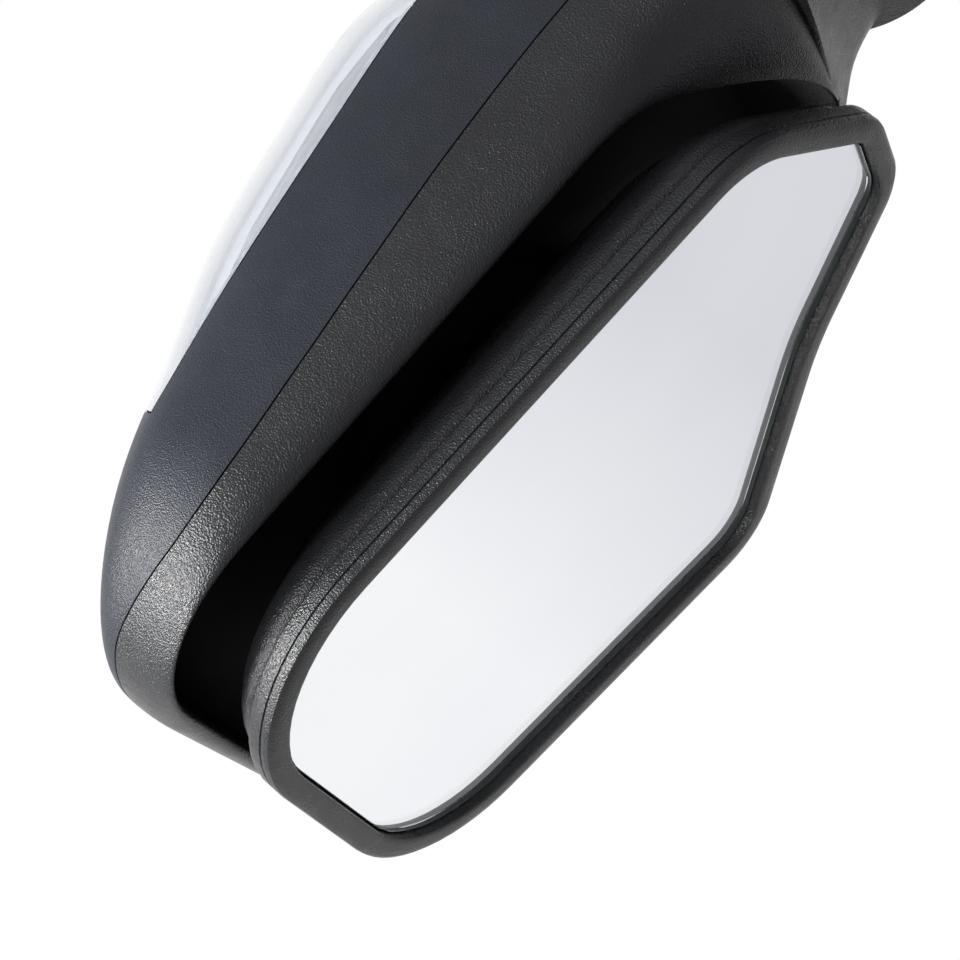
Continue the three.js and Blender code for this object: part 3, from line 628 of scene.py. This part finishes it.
def silver_material():
    material, nodes, links, shader = new_material("silvering", (0.93, 0.94, 0.95), 0.0, 1.0)
    tone = ramp(nodes, links, noise(nodes, links, 12, 3), (0.9, 0.91, 0.93), (0.95, 0.955, 0.96))
    links.new(tone, shader.inputs["Base Color"])
    links.new(ramp(nodes, links, noise(nodes, links, 40, 5), 0.0, 0.012), shader.inputs["Roughness"])
    return material


def plate_glass_material():
    material, nodes, links, shader = new_material(
        "plate_glass", (0.955, 0.965, 0.98), 0.0, 0, Transmission_Weight=1.0, IOR=1.52)
    links.new(ramp(nodes, links, noise(nodes, links, 30, 4), 0.0, 0.01), shader.inputs["Roughness"])
    links.new(bump(nodes, links, noise(nodes, links, 8, 1), 0.000001, 0.2), shader.inputs["Normal"])
    return material


def glass_edge_material():
    """Ground edge of the plate, dark green from the side."""
    return fine_finish("glass_edge", (0.02, 0.045, 0.035), 0.3, 0, 2500, 0.00001)


MATERIALS = {
    "black_grain": leather_grain("black_grain", (0.008, 0.0083, 0.0092), 0.29, 0.00044, 0.00016),
    "fine_grain": leather_grain("fine_grain", (0.0095, 0.0108, 0.0145), 0.36, 0.00034, 0.00011, 0.2),
    "satin_black": fine_finish("satin_black", (0.013, 0.0135, 0.015), 0.3, scale=2600, depth=0.000012),
    "clear_lens": lens_material(),
    "pillow_optic": pillow_material(),
    "reflector": fine_finish("reflector", (0.86, 0.88, 0.92), 0.16, 0.75, 300, 0.00006),
    "circuit_board": fine_finish("circuit_board", (0.03, 0.16, 0.075), 0.4, 0, 1500),
    "silvering": silver_material(),
    "plate_glass": plate_glass_material(),
    "glass_edge": glass_edge_material(),
    "opening_painted_shade_grain": opening_painted_shade_grain(),
    "heater": fine_finish("heater", (0.45, 0.17, 0.06), 0.5, 0, 700),
    # Near black and almost without reflection: the jackscrews' own black acetal, but painted shade on the grey
    # plastic parts in the dark cavity.
    "grey_plastic": fine_finish(
        "grey_plastic", (0.004, 0.0041, 0.0045), 0.7, 0, 2200, 0.00002, Specular_IOR_Level=0.08),
    "white_plastic": fine_finish("white_plastic", (0.72, 0.72, 0.67), 0.4, 0, 1200),
    "steel": fine_finish("steel", (0.56, 0.57, 0.59), 0.3, 1.0, 1500, 0.000015),
    "brass": fine_finish("brass", (0.62, 0.46, 0.2), 0.3, 1.0, 1500, 0.000015),
    "cast_alloy": fine_finish("cast_alloy", (0.48, 0.49, 0.5), 0.5, 1.0, 1100, 0.00006, 0.1),
    "rubber": fine_finish("rubber", (0.016, 0.016, 0.016), 0.75, 0, 1800, 0.00003, 0.08),
}
FINE_GRAIN_NODES = {"lower_cover"}
BLACK_ACETAL_NODES = {"jackscrew_vertical", "jackscrew_horizontal"}


def finish_of(node, slot_name):
    if node in FINE_GRAIN_NODES:
        return MATERIALS["fine_grain"]
    if node in BLACK_ACETAL_NODES:
        return MATERIALS["grey_plastic"]
    if node == "lamp_optic":
        return MATERIALS["pillow_optic"]
    return MATERIALS[slot_name]


# ---------------------------------------------------------------- pieces
record = frame["record"]
slot_of = {part["node"]: part["material_slot"] for part in record["subparts"]}
body_of = {n: body for body, nodes in record["behaviour"]["bodies"].items() for n in nodes}


def add_piece(name, node, mesh, materials, angle=32):
    """A detailed piece that stands for one CAD node."""
    o = bpy.data.objects.new(name, mesh)
    bpy.context.scene.collection.objects.link(o)
    mesh.materials.clear()
    for material in materials:
        mesh.materials.append(material)
    mesh.shade_smooth()
    mesh.set_sharp_from_angle(angle=math.radians(angle))
    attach(o, body_of[node])
    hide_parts(node)
    return o


def inside(outline, x, z):
    """Whether a point of the XZ plane lies within a closed outline."""
    crossings = 0
    for (x0, z0), (x1, z1) in zip(outline, outline[1:] + outline[:1]):
        if (z0 > z) != (z1 > z) and x < x0 + (z - z0) * (x1 - x0) / (z1 - z0):
            crossings += 1
    return crossings % 2 == 1


def add_covers():
    opening = [tuple(p[:2]) for p in rounded(OPENING_CORNERS, 0.4, 8)]
    for node, mesh in covers().items():
        add_piece(node + "_shell", node, mesh, [finish_of(node, slot_of[node])])
        if node == "bezel":
            mesh.materials.append(MATERIALS["opening_painted_shade_grain"])
            # Faces inside the opening take the darker opening material, painted shade in the recess.
            for face in mesh.polygons:
                x, y, z = face.center / MM
                face.material_index = 1 if y > TUNNEL_START and inside(opening, x, z) else 0


def add_glass():
    mesh = glass()
    materials = [MATERIALS[name] for name in ("plate_glass", "silvering", "glass_edge")]
    add_piece("silvered_glass", "mirror_glass", mesh, materials)
    back = max(v.co.y for v in mesh.vertices)
    for face in mesh.polygons:
        if abs(face.normal.y) < 0.5:
            face.material_index = 2
        elif all(mesh.vertices[v].co.y > back - 1e-6 for v in face.vertices):
            face.material_index = 1


def dress_cad_nodes():
    """CAD nodes that stay: rounded edges, smooth round faces and their own material."""
    for node, o in frame["nodes"].items():
        if o.hide_render:
            continue
        o.data.materials.clear()
        o.data.materials.append(finish_of(node, slot_of[node]))
        o.data.shade_smooth()
        weld = o.modifiers.new("weld", "WELD")
        weld.merge_threshold = 0.000005
        bevel = o.modifiers.new("edges", "BEVEL")
        bevel.width, bevel.segments = 0.0003, 2
        bevel.limit_method, bevel.angle_limit = "ANGLE", math.radians(40)
        split = o.modifiers.new("crisp", "EDGE_SPLIT")
        split.split_angle = math.radians(35)


add_covers()
add_piece("holder_shell", "glass_holder", holder(), [MATERIALS["black_grain"]])
add_glass()
dress_cad_nodes()


# ---------------------------------------------------------------- studio
def add_world():
    """White studio overhead, softer to the sides and slightly darker towards the car behind."""
    world = bpy.data.worlds.new("studio")
    bpy.context.scene.world = world
    world.use_nodes = True
    nodes, links = world.node_tree.nodes, world.node_tree.links
    background = nodes["Background"]
    coord = nodes.new("ShaderNodeTexCoord")
    split = nodes.new("ShaderNodeSeparateXYZ")
    links.new(coord.outputs["Generated"], split.inputs["Vector"])
    sky = ramp(nodes, links, split.outputs["Z"], (0.55, 0.56, 0.58), (1.0, 1.0, 1.0), 0.0, 0.7)
    across = spread_out(nodes, links, split.outputs["X"], -0.25, 0.0)
    behind = spread_out(nodes, links, split.outputs["Y"], -0.1, -0.35)
    towards_car = ramp(nodes, links, across, (0.75, 0.755, 0.785), (1.0, 1.0, 1.0), 0.25, 0.64)
    mix = nodes.new("ShaderNodeMix")
    mix.data_type = "RGBA"
    mix.blend_type = "MULTIPLY"
    links.new(behind, mix.inputs["Factor"])
    links.new(sky, mix.inputs[6])
    links.new(towards_car, mix.inputs[7])
    links.new(mix.outputs[2], background.inputs["Color"])
    background.inputs["Strength"].default_value = 1.0


def add_softbox(name, direction, distance, size, power, colour=(1, 1, 1)):
    middle = Vector((196, -10, 40)) * MM
    data = bpy.data.lights.new(name, "AREA")
    data.shape = "RECTANGLE"
    data.size, data.size_y = size
    data.energy = power
    data.color = colour
    light = bpy.data.objects.new(name, data)
    way = Vector(direction).normalized()
    light.location = middle + way * distance
    light.visible_camera = False
    light.rotation_euler = way.to_track_quat("Z", "Y").to_euler()
    bpy.context.scene.collection.objects.link(light)


def add_floor():
    bm = bmesh.new()
    bmesh.ops.create_grid(bm, x_segments=2, y_segments=2, size=8)
    mesh = bpy.data.meshes.new("floor")
    bm.to_mesh(mesh)
    bm.free()
    floor = bpy.data.objects.new("floor", mesh)
    floor.location = (0, 0, -0.95)
    mesh.materials.append(fine_finish("floor", (0.55, 0.55, 0.56), 0.8, 0, 3, 0, 0.01))
    bpy.context.scene.collection.objects.link(floor)


add_world()
add_softbox("side_softbox", (0.76, 0.42, -0.46), 1.0, (0.24, 0.3), 32)
add_softbox("rear_softbox", (0.84, -0.02, -0.54), 1.0, (0.2, 0.2), 16)
add_floor()
bpy.context.scene.view_settings.view_transform = "Standard"
